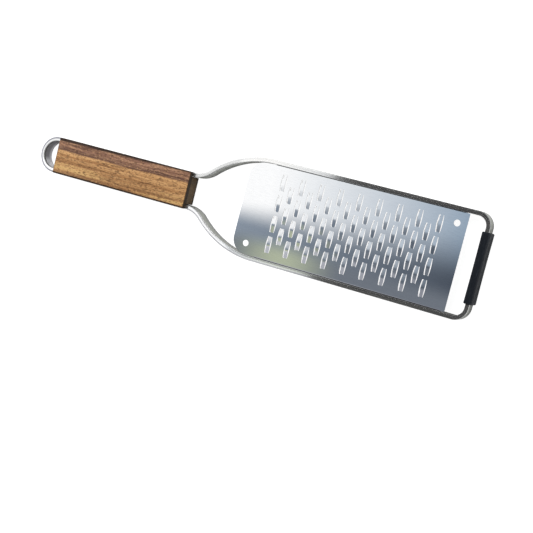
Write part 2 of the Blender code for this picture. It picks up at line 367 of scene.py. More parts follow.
def arc(centre: Span, radius: float, start: float, end: float, steps: int) -> list[Vector]:
    """Points along a flat arc from one angle to another, in radians, with both ends."""
    angles = [start + (end - start) * step / steps for step in range(steps + 1)]
    return [Vector((centre[0] + radius * math.cos(a), centre[1] + radius * math.sin(a))) for a in angles]


def outline_mesh(name: str, outline: Iterable[Vector], height: float, filled: bool = False) -> bpy.types.Mesh:
    """A closed outline in a level plane.

    Args:
        name: the mesh's name.
        outline: its points in the plane.
        height: the plane's height.
        filled: whether it is one face, and not a ring of edges.

    Returns:
        The mesh.
    """
    corners = [(x, y, height) for x, y in outline]
    ring = list(range(len(corners)))
    edges = list(zip(ring, ring[1:] + ring[:1]))
    mesh = bpy.data.meshes.new(name)
    mesh.from_pydata(corners, [] if filled else edges, [ring] if filled else [])
    return mesh


def bridge(shape: bmesh.types.BMesh, first: Ring, second: Ring) -> None:
    """Fills the band between two closed rings with as many points."""
    for quad in zip(first, first[1:] + first[:1], second[1:] + second[:1], second):
        shape.faces.new(quad)


def written(shape: bmesh.types.BMesh, mesh: bpy.types.Mesh) -> bpy.types.Mesh:
    """Ends the work on a shape.

    Args:
        shape: the shape, which is freed.
        mesh: the mesh that it goes into.

    Returns:
        The mesh.
    """
    shape.to_mesh(mesh)
    shape.free()
    return mesh


def linked(name: str, data: bpy.types.ID) -> bpy.types.Object:
    """Adds an object to the scene.

    Args:
        name: its name.
        data: its mesh, camera or lamp.

    Returns:
        The object, at the origin.
    """
    made = bpy.data.objects.new(name, data)
    bpy.context.scene.collection.objects.link(made)
    return made


def applied(host: bpy.types.Object) -> bpy.types.Mesh:
    """Makes an object's modifiers part of its mesh.

    Args:
        host: the object, which is removed with its first mesh.

    Returns:
        The plain mesh, with the object's name.
    """
    bpy.context.view_layer.update()
    evaluated = host.evaluated_get(bpy.context.evaluated_depsgraph_get())
    mesh = bpy.data.meshes.new_from_object(evaluated)
    name, seed = host.name, host.data
    host.modifiers.clear()
    bpy.data.objects.remove(host, do_unlink=True)
    bpy.data.meshes.remove(seed)
    mesh.name = name
    return mesh


def show(mesh: bpy.types.Mesh, material: bpy.types.Material) -> bpy.types.Object:
    """Puts a finished mesh in the scene.

    Args:
        mesh: the mesh, with its place in its points.
        material: its only material.

    Returns:
        The new object, at the origin.
    """
    mesh.materials.clear()
    mesh.materials.append(material)
    return linked(mesh.name, mesh)


# Finishes


@dataclass(frozen=True)
class Finish:
    """The look of a piece's surface."""

    name: str

    def shader(self, graph: ShaderGraph) -> Wire:
        """The finish's shader, which each kind of finish builds in its own way."""
        raise NotImplementedError


@dataclass(frozen=True)
class BarPoint:
    """A point on the bar, and what the steel is like there."""

    x: Wire
    y: Wire
    outward: Wire
    side: Wire
    jittered_depth: Wire
    lines: Wire


@dataclass(frozen=True)
class BarSteel(Finish):
    """Satin steel, drawn along the bar, with duller rolled side faces, and painted highlights, painted
    reflections and painted shade on its faces.
    """

    name: str = "satin_bar_steel"
    bar_width: float = 0.0095
    metal: float = 0.93
    roughness: float = 0.26
    line_swing: float = 0.18
    patch_swing: float = 0.06
    side_dulling: float = 0.16
    fine_lines: Grain = Grain((18.0, 1500.0, 0.0), 3.0)
    broad_lines: Grain = Grain((7.44, 620.0, 0.0))
    fine_share: float = 0.6
    line_height: float = 0.000008
    patches: Grain = Grain((90.0, 90.0, 90.0), 3.0)

    front_tone: Colour = (0.71, 0.71, 0.70)
    streak_tone: Colour = (0.44, 0.44, 0.45)
    # Painted highlight, painted reflection and painted shade tones for the front of the lower neck and the
    # lower bar.
    painted_highlight_tone: Colour = (0.98, 0.98, 0.98)
    painted_neck_middle_tone: Colour = (0.50, 0.50, 0.51)
    painted_neck_rim_shade: Colour = (0.33, 0.33, 0.36)
    streaks: Span = (0.44, 0.64)
    upper_calm: float = 0.6
    off_middle: Span = (0.003, 0.007)
    shoulder_end: Span = (0.040, 0.070)
    neck_end: Span = (-0.008, 0.012)
    neck_share: float = 0.8
    to_middle: Span = (-0.45, 0.05)
    to_rim: Span = (0.15, 0.75)
    bright_middle: Span = (-0.6, 0.0)

    side_tone: Colour = (0.37, 0.38, 0.345)
    # Painted shade on the side faces: darker towards the back, and a dark line along the inner one's front
    # edge.
    side_painted_shade: Colour = (0.12, 0.12, 0.12)
    side_shade_fade: Span = (0.0, 0.0045)
    depth_line_jitter: float = 0.0022
    depth_patch_jitter: float = 0.0015
    front_edge_shade_line: Span = (0.0005, 0.0017)
    front_edge_shade_share: float = 0.75
    outer_side: Span = (-0.2, 0.2)

    # Painted shade and painted reflection for the hanging loop's inside, and painted shade on the outer rim
    # of its front.
    hook_front_painted_shade: Colour = (0.045, 0.044, 0.042)
    hook_tone: Colour = (0.25, 0.245, 0.26)
    hook_painted_reflection: Colour = (0.84, 0.84, 0.87)
    hook_rim_painted_shade: Colour = (0.27, 0.27, 0.30)
    hook_x: float = -0.15068
    hook_end: Span = (-0.14728, -0.14628)
    hook_low: Span = (0.002, 0.007)
    hook_back: Span = (0.0004, 0.0042)
    hook_front: Span = (0.0006, 0.0026)
    hook_inner: Span = (0.0100, 0.0103)
    hook_outer: Span = (0.0108, 0.0118)

    def shader(self, graph: ShaderGraph) -> Wire:
        """Builds the shader.

        Args:
            graph: the material's graph.

        Returns:
            The shader.
        """
        place = graph.place()
        unrolled = (graph.attribute("along"), graph.attribute("across"), 0.0)
        fine, broad = self.fine_lines.at(graph, unrolled), self.broad_lines.at(graph, unrolled)
        lines = fine * self.fine_share + broad * (1.0 - self.fine_share)
        line_off, patch_off = lines - NOISE_MEAN, self.patches.at(graph, place) - NOISE_MEAN
        side = graph.attribute("side_face")
        # The depth from the back face, jittered by the lines and patches; it places the painted shade and the
        # hanging loop's painted reflection.
        jittered_depth = graph.attribute("face_depth") + line_off * self.depth_line_jitter + patch_off * self.depth_patch_jitter
        point = BarPoint(place[0], place[1], graph.attribute("outward"), side, jittered_depth, lines)
        rough = self.roughness + line_off * self.line_swing + patch_off * self.patch_swing
        tone = self._hooked(point, side.mix(self._front(point), self._sides(point)))
        values = {"Base Color": tone, "Metallic": self.metal, "Roughness": rough + side * self.side_dulling}
        return graph.principled(values | {"Normal": graph.bump(lines, self.line_height)})

    def _front(self, point: BarPoint) -> Wire:
        """The front's streaks, a painted reflection graded across the lower neck from a painted highlight at
        the inner edge to painted shade at the outer rim, and a painted highlight along the middle of the
        lower bar.

        Args:
            point: the point on the bar.

        Returns:
            The colour.
        """
        rear = 1.0 - point.x.ease(self.shoulder_end)
        upper = point.y.ease(self.off_middle) * rear
        lower = (-point.y).ease(self.off_middle)
        streak = point.lines.ease(self.streaks) * (1.0 - upper * self.upper_calm)
        # Painted reflection across the lower neck's front: a painted highlight at the inner edge, painted
        # shade at the outer rim.
        painted_neck_grade = point.outward.ease(self.to_middle).mix(self.painted_highlight_tone, self.painted_neck_middle_tone)
        painted_neck_grade = point.outward.ease(self.to_rim).mix(painted_neck_grade, self.painted_neck_rim_shade)
        neck = lower * (1.0 - point.x.ease(self.neck_end)) * self.neck_share
        tone = neck.mix(streak.mix(self.front_tone, self.streak_tone), painted_neck_grade)
        # Painted highlight along the middle of the lower bar's front towards the rear.
        middle = (-abs(point.outward)).ease(self.bright_middle)
        return (lower * rear * middle).mix(tone, self.painted_highlight_tone)

    def _sides(self, point: BarPoint) -> Wire:
        """The side faces, with painted shade darker towards the back and a painted shade line along the inner
        one's front edge.

        Args:
            point: the point on the bar.

        Returns:
            The colour.
        """
        # Painted shade: darker towards the back, with a painted shade line along the inner front edge.
        tone = point.jittered_depth.ease(self.side_shade_fade).mix(self.side_painted_shade, self.side_tone)
        front_edge_shade_line = 1.0 - (self.bar_width - point.jittered_depth).ease(self.front_edge_shade_line)
        inner = 1.0 - point.outward.ease(self.outer_side)
        return (front_edge_shade_line * inner * self.front_edge_shade_share).mix(tone, self.side_painted_shade)

    def _hooked(self, point: BarPoint, tone: Wire) -> Wire:
        """Gives the hanging loop its inside, with painted shade at the front and a painted reflection lighter
        at the back and on the lower part, and painted shade on the outer rim of its front.

        Args:
            point: the point on the bar.
            tone: the colour of the rest of the bar.

        Returns:
            The colour.
        """
        behind = (self.hook_x - point.x).at_least(0.0)
        radius = (behind * behind + point.y * point.y) ** 0.5
        hook = 1.0 - point.x.ease(self.hook_end)
        # Painted reflection: lighter on the lower part and towards the back.
        light = (-point.y).ease(self.hook_low).at_least(1.0 - point.jittered_depth.ease(self.hook_back))
        inside = light.mix(self.hook_tone, self.hook_painted_reflection)
        # Painted shade along the front of the inside.
        inside = (self.bar_width - point.jittered_depth).ease(self.hook_front).mix(self.hook_front_painted_shade, inside)
        tone = (hook * point.side * (1.0 - radius.ease(self.hook_inner))).mix(tone, inside)
        # Painted shade on the outer rim of the loop's front.
        return (hook * (1.0 - point.side) * radius.ease(self.hook_outer)).mix(tone, self.hook_rim_painted_shade)


@dataclass(frozen=True)
class BladeSteel(Finish):
    """Bright rolled sheet with faint grain and a little cloudiness."""

    name: str = "bright_blade_steel"
    tone: Colour = (0.72, 0.73, 0.74)
    grain_tone: Colour = (0.685, 0.695, 0.708)
    grain: Grain = Grain((240.0, 2600.0, 400.0), 3.0)
    grain_spread: Span = (0.38, 0.70)
    grain_height: float = 0.0000003
    clouds: Grain = Grain((55.0, 55.0, 55.0), 3.0)
    roughness: float = 0.085
    roughness_swing: float = 0.04

    def shader(self, graph: ShaderGraph) -> Wire:
        """Builds the shader.

        Args:
            graph: the material's graph.

        Returns:
            The shader.
        """
        place = graph.place()
        grain, cloud = self.grain.at(graph, place), self.clouds.at(graph, place)
        swing = (cloud - NOISE_MEAN) * self.roughness_swing + (grain - NOISE_MEAN) * self.roughness_swing
        values = {"Base Color": grain.ease(self.grain_spread).mix(self.tone, self.grain_tone)}
        values |= {"Metallic": 1.0, "Roughness": self.roughness + swing}
        return graph.principled(values | {"Normal": graph.bump(grain, self.grain_height)})


@dataclass(frozen=True)
class Walnut(Finish):
    """Oiled walnut with a dark heart above and a tan lower part, and grain along the handle."""

    name: str = "oiled_walnut"
    middle_x: float = -0.0944
    half_length: float = 0.0533
    half_width: float = 0.0125
    border: float = 0.0044
    border_fade: Span = (-0.0005, 0.0006)
    wander: float = 0.0026
    bends: Grain = Grain((30.0, 60.0, 60.0), 3.0)

    heart: Colour = (0.190, 0.095, 0.062)
    heart_line: Colour = (0.085, 0.042, 0.030)
    heart_light: Colour = (0.330, 0.185, 0.110)
    tan: Colour = (0.280, 0.136, 0.051)
    tan_light: Colour = (0.470, 0.265, 0.112)
    tan_line: Colour = (0.140, 0.066, 0.026)
    golden: Colour = (0.520, 0.330, 0.130)
    rings: Grain = Grain((14.0, 520.0, 300.0), 4.0, 0.62)
    streaks: Grain = Grain((48.0, 850.0, 700.0), 3.0, 0.6)
    heart_rings: Span = (0.40, 0.57)
    heart_streaks: Span = (0.48, 0.62)
    heart_streak_share: float = 0.85
    band_fade: Span = (0.0004, 0.0022)
    band_wander: float = 0.002
    band_share: float = 0.5
    tan_rings: Span = (0.38, 0.60)
    tan_streaks: Span = (0.53, 0.66)
    tan_streak_share: float = 0.8
    low_part: Span = (0.002, 0.007)
    low_lines: Grain = Grain((16.0, 640.0, 300.0))
    golden_lines: Span = (0.50, 0.58)
    golden_share: float = 0.75
    dark_lines: Span = (0.02, 0.12)
    dark_line_share: float = 0.6

    flecks: Grain = Grain((520.0, 1000.0, 1000.0), 2.0, 0.6)
    dark_flecks: Span = (0.52, 0.66)
    dark_fleck_share: float = 0.6
    light_flecks: Span = (0.06, 0.18)
    light_fleck_share: float = 0.5
    pores: Grain = Grain((430.0, 1300.0, 1300.0), 2.0, 0.55)
    pore_shift: float = 0.01628
    open_pores: Span = (0.53, 0.66)
    pore_share: float = 0.62
    pore_tone: Colour = (0.050, 0.024, 0.014)

    # Darker end faces: partly the end grain's own darker tone, partly painted shade.
    end_tone: Colour = (0.085, 0.058, 0.028)
    end_share: float = 0.86
    end_start: Span = (-0.0003, -0.00005)
    # Dark edge strips: painted shade along the lower edge and round the ends; the top strip and the end-face
    # bands are drawn darker.
    edge_dark_tone: Colour = (0.012, 0.006, 0.004)
    edge_dark_share: float = 0.92
    edge_dark_inset: float = 0.0013
    edge_dark_spread: float = 0.011
    edge_dark_wander: float = 0.0012
    edge_dark_top: Span = (-0.0006, 0.0005)
    low_edge_painted_shade: Span = (-0.0014, -0.0008)
    low_edge_painted_shade_wander: float = 0.0004
    end_rim_painted_shade: Span = (-0.0006, -0.0002)
    end_rim_painted_shade_share: float = 0.8
    end_dark_flange: Span = (0.0106, 0.0116)
    end_dark_back: Span = (0.0026, 0.0040)
    end_dark_back_wander: float = 0.001
    end_dark_share: float = 0.85

    fibres: Grain = Grain((90.0, 3000.0, 3000.0), 3.0, 0.6)
    fibre_height: float = 0.4
    fleck_height: float = 0.3
    pore_depth: float = 0.9
    relief: float = 0.00014
    relief_strength: float = 0.8
    roughness: float = 0.55
    roughness_swing: float = 0.2
    gloss: float = 0.22

    def shader(self, graph: ShaderGraph) -> Wire:
        """Builds the shader.

        Args:
            graph: the material's graph.

        Returns:
            The shader.
        """
        x, y, z = graph.place()
        bend = self.bends.at(graph, (x, y, z)) - NOISE_MEAN
        flecks, fibres = self.flecks.at(graph, (x, y, z)), self.fibres.at(graph, (x, y, z))
        pores = self.pores.at(graph, (x + self.pore_shift, y, z)).ease(self.open_pores) * self.pore_share
        dark_flecks = flecks.ease(self.dark_flecks) * self.dark_fleck_share
        light_flecks = (NOISE_MEAN - flecks).ease(self.light_flecks) * self.light_fleck_share
        end = (abs(x - self.middle_x) - self.half_length).ease(self.end_start)
        tone = self._figure(graph, (x, y + bend * self.wander, z))
        tone = dark_flecks.mix(tone, self.tan_line)
        tone = light_flecks.mix(tone, self.tan_light)
        tone = pores.mix(tone, self.pore_tone)
        # Darker end faces: partly the end grain's own darker tone, partly painted shade.
        tone = (end * self.end_share).mix(tone, self.end_tone)
        # Dark strips along the long edges and ends, with painted shade along the lower edge and round the
        # ends.
        tone = self._dark_edges((x, y, z), end, bend).mix(tone, self.edge_dark_tone)
        rough = self.roughness + ((fibres - NOISE_MEAN) + pores) * self.roughness_swing
        height = fibres * self.fibre_height + flecks * self.fleck_height - pores * self.pore_depth
        normal = graph.bump(height, self.relief, self.relief_strength)
        values = {"Base Color": tone, "Roughness": rough, "Specular IOR Level": self.gloss, "Normal": normal}
        return graph.principled(values)

    def _figure(self, graph: ShaderGraph, place: tuple[Wire, Wire, Wire]) -> Wire:
        """The dark heart and the tan part with their growth lines.

        Args:
            graph: the material's graph.
            place: the place, moved across the handle by the grain's wander.

        Returns:
            The colour.
        """
        level = place[1]
        grains = (self.rings, self.streaks, self.low_lines)
        rings, streaks, lines = (grain.at(graph, place) for grain in grains)
        heart = rings.ease(self.heart_rings).mix(self.heart_line, self.heart)
        heart = (streaks.ease(self.heart_streaks) * self.heart_streak_share).mix(heart, self.heart_light)
        over_border = level - self.border
        band = 1.0 - (over_border - rings * self.band_wander).ease(self.band_fade)
        heart = (band * self.band_share).mix(heart, self.heart_line)
        pale = rings.ease(self.tan_rings).mix(self.tan, self.tan_light)
        pale = (streaks.ease(self.tan_streaks) * self.tan_streak_share).mix(pale, self.tan_line)
        low = (-level).ease(self.low_part)
        pale = (low * lines.ease(self.golden_lines) * self.golden_share).mix(pale, self.golden)
        dark = low * (NOISE_MEAN - lines).ease(self.dark_lines) * self.dark_line_share
        return over_border.ease(self.border_fade).mix(dark.mix(pale, self.tan_line), heart)

    def _dark_edges(self, place: tuple[Wire, Wire, Wire], end: Wire, bend: Wire) -> Wire:
        """The dark strips along the long edges and at the ends: painted shade along the lower edge and in a
        thin rim round the ends, while the top strip and the bands across the end faces are drawn darker.

        Args:
            place: the place on the handle.
            end: 1 on the two end faces and 0 between them.
            bend: the grain's wander.

        Returns:
            The strips' strength.
        """
        along, y, z = place[0] - self.middle_x, place[1], place[2]
        reach = self.half_width - self.edge_dark_inset + along * self.edge_dark_spread + bend * self.edge_dark_wander
        top = (y - reach).ease(self.edge_dark_top)
        # Painted shade along the lower edge.
        low = (-y - self.half_width + bend * self.low_edge_painted_shade_wander).ease(self.low_edge_painted_shade)
        # Painted shade in a thin rim round the ends.
        rim = (abs(along) - self.half_length).ease(self.end_rim_painted_shade) * (1.0 - end)
        back = 1.0 - (z + bend * self.end_dark_back_wander).ease(self.end_dark_back)
        depth = z.ease(self.end_dark_flange).at_least(back)
        ends = (rim * self.end_rim_painted_shade_share).at_least(end * depth * self.end_dark_share)
        return top.at_least(low).at_least(ends) * self.edge_dark_share


@dataclass(frozen=True)
class BlackRubber(Finish):
    """Matt moulded rubber with a fine skin and scuffs along its edges."""

    name: str = "black_rubber"
    tone: Colour = (0.0068, 0.0088, 0.0128)
    scuff_tone: Colour = (0.018, 0.023, 0.031)
    scuffs: Grain = Grain((900.0, 120.0, 900.0), 3.0)
    scuff_spread: Span = (0.55, 0.75)
    scuff_share: float = 0.7
    scuff_swing: float = 0.25
    skin: Grain = Grain((5200.0, 5200.0, 5200.0))
    skin_swing: float = 0.08
    skin_height: float = 0.00005
    skin_strength: float = 0.5
    roughness: float = 0.58
    gloss: float = 0.3

    def shader(self, graph: ShaderGraph) -> Wire:
        """Builds the shader.

        Args:
            graph: the material's graph.

        Returns:
            The shader.
        """
        place = graph.place()
        skin, scuff = self.skin.at(graph, place), self.scuffs.at(graph, place)
        tone = (scuff.ease(self.scuff_spread) * self.scuff_share).mix(self.tone, self.scuff_tone)
        swing = (scuff - NOISE_MEAN) * self.scuff_swing + (skin - NOISE_MEAN) * self.skin_swing
        values = {"Base Color": tone, "Roughness": self.roughness + swing, "Specular IOR Level": self.gloss}
        return graph.principled(values | {"Normal": graph.bump(skin, self.skin_height, self.skin_strength)})


# Pieces


@dataclass
class Piece:
    """A piece of the grater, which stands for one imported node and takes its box."""

    name: str
    node: str
    slot: Slot
    finish: Finish
    sharp_angle: float
    low: Vector = field(init=False)
    high: Vector = field(init=False)
    material: bpy.types.Material = field(init=False)

    def __post_init__(self) -> None:
        """Looks up the node's box and makes the material."""
        self.low, self.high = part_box(self.node)
        self.material = new_material(self.finish.name, self.finish.shader)

    def mesh(self) -> bpy.types.Mesh:
        """The piece's mesh, which each kind of piece makes in its own way."""
        raise NotImplementedError

    def build(self) -> bpy.types.Object:
        """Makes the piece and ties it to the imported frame.

        Returns:
            The piece.
        """
        mesh = self.mesh()
        shape = bmesh.new()
        shape.from_mesh(mesh)
        bmesh.ops.remove_doubles(shape, verts=shape.verts, dist=WELD_DISTANCE)
        bmesh.ops.recalc_face_normals(shape, faces=shape.faces)
        written(shape, mesh).shade_smooth()
        mesh.set_sharp_from_angle(angle=math.radians(self.sharp_angle))
        piece = show(mesh, self.material)
        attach(piece, BODY)
        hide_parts(self.node)
        return piece


@dataclass
class FrameLoop(Piece):
    """The flat steel bar, bent to a closed paddle outline."""

    name: str = "steel_loop"
    node: str = "frame_loop"
    slot: Slot = Slot.BAR_STEEL
    finish: Finish = BarSteel()
    sharp_angle: float = 60.0
    bar_thickness: float = 0.0028
    handle_end_width: float = 0.025
    neck_start: float = 0.1225
    neck_radius: float = 0.0175
    shoulder_radius: float = 0.064
    tip_corner_radius: float = 0.0076
    seam: float = 0.0014
    hanging_steps: int = 26
    neck_steps: int = 22
    shoulder_steps: int = 40
    tip_corner_steps: int = 18
    edge_radius: float = 0.0003
    crown: float = 0.00004
    side_start: Span = (0.0, 0.0005)
    section_points: int = 28
    section_cuts: int = 3

    def outline(self) -> list[Vector]:
        """The middle line of the bar, from its joint under the foot round to the joint again.

        Returns:
            The points of the closed line.
        """
        handle_line = (self.handle_end_width - self.bar_thickness) / 2
        blade_line = self.high.y - self.bar_thickness / 2
        tip_x = self.high.x - self.bar_thickness / 2
        spread = self.neck_radius + self.shoulder_radius
        flare = math.acos(1 - (blade_line - handle_line) / spread)
        corner = (tip_x - self.tip_corner_radius, blade_line - self.tip_corner_radius)
        neck = (self.low.x + self.neck_start, handle_line + self.neck_radius)
        shoulder = (neck[0] + spread * math.sin(flare), blade_line - self.shoulder_radius)
        hanging = (self.low.x + self.handle_end_width / 2, 0.0)
        upper = arc(corner, self.tip_corner_radius, 0.0, QUARTER_TURN, self.tip_corner_steps)
        upper += arc(shoulder, self.shoulder_radius, QUARTER_TURN, QUARTER_TURN + flare, self.shoulder_steps)
        upper += arc(neck, self.neck_radius, flare - QUARTER_TURN, -QUARTER_TURN, self.neck_steps)[1:]
        upper += arc(hanging, handle_line, QUARTER_TURN, math.pi, self.hanging_steps)
        lower = [Vector((point.x, -point.y)) for point in reversed(upper[:-1])]
        return [Vector((tip_x, self.seam / 2)), *upper, *lower, Vector((tip_x, -self.seam / 2))]

    def section(self, graph: GeometryGraph) -> Wire:
        """The bar's section: a rectangle with round edges and slightly crowned front and back.

        Args:
            graph: the tree.

        Returns:
            Its closed curve, with its own measures stored on its points.
        """
        points = graph.given("Section Points")
        circle = {"Resolution": points, "Radius": 1.0}
        section = graph.node("GeometryNodeCurvePrimitiveCircle", {"mode": "RADIUS"}, circle)
        half_step = {"Geometry": section, "Rotation": graph.joined(0.0, 0.0, math.pi / points)}
        section = graph.node("GeometryNodeTransform", values=half_step)
        x, y, _ = graph.here()
        radius = graph.given("Edge Radius")
        half_x, half_y = graph.given("Thickness") / 2.0, graph.given("Width") / 2.0
        corner_x, corner_y = x.sign() * (half_x - radius), y.sign() * (half_y - radius)
        section = graph.placed(section, graph.joined(corner_x + x * radius, corner_y + y * radius, 0.0))
        cuts = {"Curve": section, "Cuts": self.section_cuts}
        section = graph.node("GeometryNodeSubdivideCurve", values=cuts)
        x, y, _ = graph.here()
        drop = graph.given("Crown") * (x / half_x) ** 2.0 * y.sign()
        section = graph.placed(section, graph.joined(x, y - drop, 0.0))
        length = graph.node("GeometryNodeSplineParameter", output="Length")
        section = graph.store(section, "across", length)
        section = graph.store(section, "side_face", (half_y - abs(y)).ease(self.side_start))
        section = graph.store(section, "face_depth", half_y - y)
        return graph.store(section, "outward", x / half_x)

    def mesh(self) -> bpy.types.Mesh:
        """Sweeps the section along the outline.

        Returns:
            The mesh.
        """
        inputs = {
            "Thickness": self.bar_thickness,
            "Width": self.high.z - self.low.z,
            "Edge Radius": self.edge_radius,
            "Crown": self.crown,
            "Section Points": self.section_points,
            "Material": self.material,
        }
        graph = GeometryGraph("bar_sweep", inputs)
        path = graph.node("GeometryNodeMeshToCurve", values={"Mesh": graph.given("Geometry")})
        path = graph.node("GeometryNodeSetCurveNormal", {"mode": "Z_UP"}, {"Curve": path})
        path = graph.store(path, "along", graph.node("GeometryNodeSplineParameter", output="Length"))
        sweep = {"Curve": path, "Profile Curve": self.section(graph)}
        ring = outline_mesh("loop_ring", self.outline(), (self.low.z + self.high.z) / 2)
        return graph.grown(self.name, ring, graph.node("GeometryNodeCurveToMesh", values=sweep))


@dataclass
class GratingBlade(Piece):
    """The etched sheet with its raised ribbons, round holes and folded sides."""

    name: str = "etched_blade"
    node: str = "grating_blade"
    slot: Slot = Slot.BLADE_STEEL
    finish: Finish = BladeSteel()
    sharp_angle: float = 20.0
    surface: float = 0.0103
    thickness: float = 0.0003
    shoulder_end: float = 0.0145
    shoulder_radius: float = 0.0623
    shoulder_centre_y: float = -0.0314
    shoulder_steps: int = 18
    rear_corner_radius: float = 0.010
    rear_corner_steps: int = 16
    tip_corner_radius: float = 0.0006
    tip_corner_steps: int = 5

    ribbon_length: float = 0.011
    ribbon_width: float = 0.0024
    ribbon_thickness: float = 0.00028
    ribbon_rise: float = 0.0010
    ribbon_root: float = 0.0004
    ribbon_sink: float = 0.00003
    ridge_round: float = 0.12
    bevel_drop: float = 0.0002
    crown_share: float = 0.84
    toe_share: float = 0.12
    narrowing: float = 0.22
    points_across: int = 13
    points_along: int = 27
    rear_slot: float = 0.00105
    tip_slot: float = 0.0005
    window_cuts: int = 7

    row_pitch: float = 0.00684
    column_pitch: float = 0.01334
    long_rows: int = 4
    long_columns: int = 9
    tip_margin: float = 0.01674

    hole_radius: float = 0.0021
    hole_steps: int = 40
    hole_edge_inset: float = 0.0074
    hole_rear_inset: float = 0.0094
    hole_tip_inset: float = 0.0065

    fold_radius: float = 0.0008
    fold_steps: int = 8
    lip_reach: float = 0.00026
    fold_rear_setback: float = 0.0015
    fold_tip_setback: float = 0.003

    def outline(self) -> list[Vector]:
        """The sheet's outline, drawn in along both sides where the folds start.

        Returns:
            The points of the closed line.
        """
        corner_x = self.low.x + self.rear_corner_radius
        reach = self.shoulder_radius - self.rear_corner_radius
        angle = math.acos((corner_x - self.shoulder_end) / reach)
        corner = (corner_x, self.shoulder_centre_y + reach * math.sin(angle))
        centre = (self.shoulder_end, self.shoulder_centre_y)
        upper = arc(corner, self.rear_corner_radius, math.pi, angle, self.rear_corner_steps)
        upper += arc(centre, self.shoulder_radius, angle, QUARTER_TURN, self.shoulder_steps)[1:]
        edge, inner = self.high.y, self.high.y + self.lip_reach - self.fold_radius
        rear_x, tip_x = self._fold_ends()
        upper += [Vector(point) for point in ((rear_x, edge), (rear_x, inner), (tip_x, inner), (tip_x, edge))]
        tip = (self.high.x - self.tip_corner_radius, edge - self.tip_corner_radius)
        upper += arc(tip, self.tip_corner_radius, QUARTER_TURN, 0.0, self.tip_corner_steps)
        return upper + [Vector((point.x, -point.y)) for point in reversed(upper)]

    def _fold_ends(self) -> Span:
        """The places along the blade where the folds start and end."""
        return self.shoulder_end + self.fold_rear_setback, self.high.x - self.fold_tip_setback

    def _middles(self, graph: GeometryGraph, short: int) -> Wire:
        """The middles of the long or the short rows' ribbons.

        Args:
            graph: the tree.
            short: 0 for the long rows, 1 for the short ones between them.

        Returns:
            A grid of points.
        """
        columns, rows = graph.given("Long Columns") - short, graph.given("Long Rows") - short
        pitch = graph.given("Column Pitch")
        size_x, size_y = (columns - 1.0) * pitch, (rows - 1.0) * (graph.given("Row Pitch") * 2.0)
        grid = {"Size X": size_x, "Size Y": size_y, "Vertices X": columns, "Vertices Y": rows}
        middle_x = graph.given("Last Ribbon") - pitch * (short / 2) - size_x / 2.0
        middle = graph.joined(middle_x, 0.0, graph.given("Surface"))
        return graph.shifted(graph.node("GeometryNodeMeshGrid", values=grid), middle)

    def _narrowed(self, graph: GeometryGraph, run: Wire) -> Wire:
        """The share of the full width at a place from -1 to 1 along a ribbon or its window."""
        return 1.0 - graph.given("Narrowing") * run * run

    def _ribbon(self, graph: GeometryGraph) -> Wire:
        """One raised ribbon over the origin: two slopes, a round ridge, a bevelled rear and narrowed ends.

        Args:
            graph: the tree.

        Returns:
            Its mesh.
        """
        half = graph.given("Ribbon Length") / 2.0
        counts = {"Vertices X": self.points_across, "Vertices Y": self.points_along}
        grid = graph.node("GeometryNodeMeshGrid", values={"Size X": 2.0, "Size Y": 2.0, **counts})
        across, along, _ = graph.here()
        run = along * (1.0 + self.ribbon_root / half)
        ridge = self.ridge_round
        foot = math.hypot(1.0, ridge)
        share = ((foot - (run * run + ridge * ridge) ** 0.5) / (foot - ridge)).at_least(0.0)
        slope = ((-across - self.crown_share) / (1.0 - self.crown_share)).at_least(0.0)
        toe = ((1.0 - abs(run)) / self.toe_share).at_least(0.0).at_most(1.0)
        lift = graph.given("Ribbon Rise") * share - slope * toe * graph.given("Ribbon Bevel Drop")
        x = across * (graph.given("Ribbon Width") / 2.0) * self._narrowed(graph, run)
        face = graph.placed(grid, graph.joined(x, run * half, lift - self.ribbon_sink))
        return graph.thickened(face, graph.given("Ribbon Thickness"))

    def _window(self, graph: GeometryGraph) -> Wire:
        """The outline of one ribbon's window about the origin: the ribbon with a slot on each side.

        Args:
            graph: the tree.

        Returns:
            Its closed curve.
        """
        rear, tip, length = graph.given("Rear Slot"), graph.given("Tip Slot"), graph.given("Ribbon Length")
        sides = {"Width": graph.given("Ribbon Width") + rear + tip, "Height": length}
        window = graph.node("GeometryNodeCurvePrimitiveQuadrilateral", {"mode": "RECTANGLE"}, sides)
        cuts = {"Curve": window, "Cuts": self.window_cuts}
        window = graph.node("GeometryNodeSubdivideCurve", values=cuts)
        x, y, _ = graph.here()
        x = (x + (tip - rear) / 2.0) * self._narrowed(graph, y * 2.0 / length)
        return graph.placed(window, graph.joined(x, y, 0.0))

    def _sheet(self, graph: GeometryGraph, middles: Wire) -> Wire:
        """The sheet with its windows and round holes.

        Args:
            graph: the tree.
            middles: the ribbons' middles.

        Returns:
            Its mesh.
        """
        windows = graph.copies(middles, self._window(graph))
        windows = graph.node("GeometryNodeRealizeInstances", values={"Geometry": windows})
        circle = {"Resolution": self.hole_steps, "Radius": graph.given("Hole Radius")}
        hole = graph.node("GeometryNodeCurvePrimitiveCircle", {"mode": "RADIUS"}, circle)
        holes = [graph.shifted(hole, graph.given(name)) for name in ("Rear Hole", "Tip Hole")]
        edge = graph.node("GeometryNodeMeshToCurve", values={"Mesh": graph.given("Geometry")})
        x, y, _ = graph.here()
        lines = graph.placed(graph.together(edge, windows, *holes), graph.joined(x, y, 0.0))
        face = graph.node("GeometryNodeFillCurve", {"mode": "TRIANGLES"}, {"Curve": lines})
        sheet = graph.thickened(face, graph.given("Thickness"))
        return graph.shifted(sheet, graph.joined(0.0, 0.0, graph.given("Surface")))

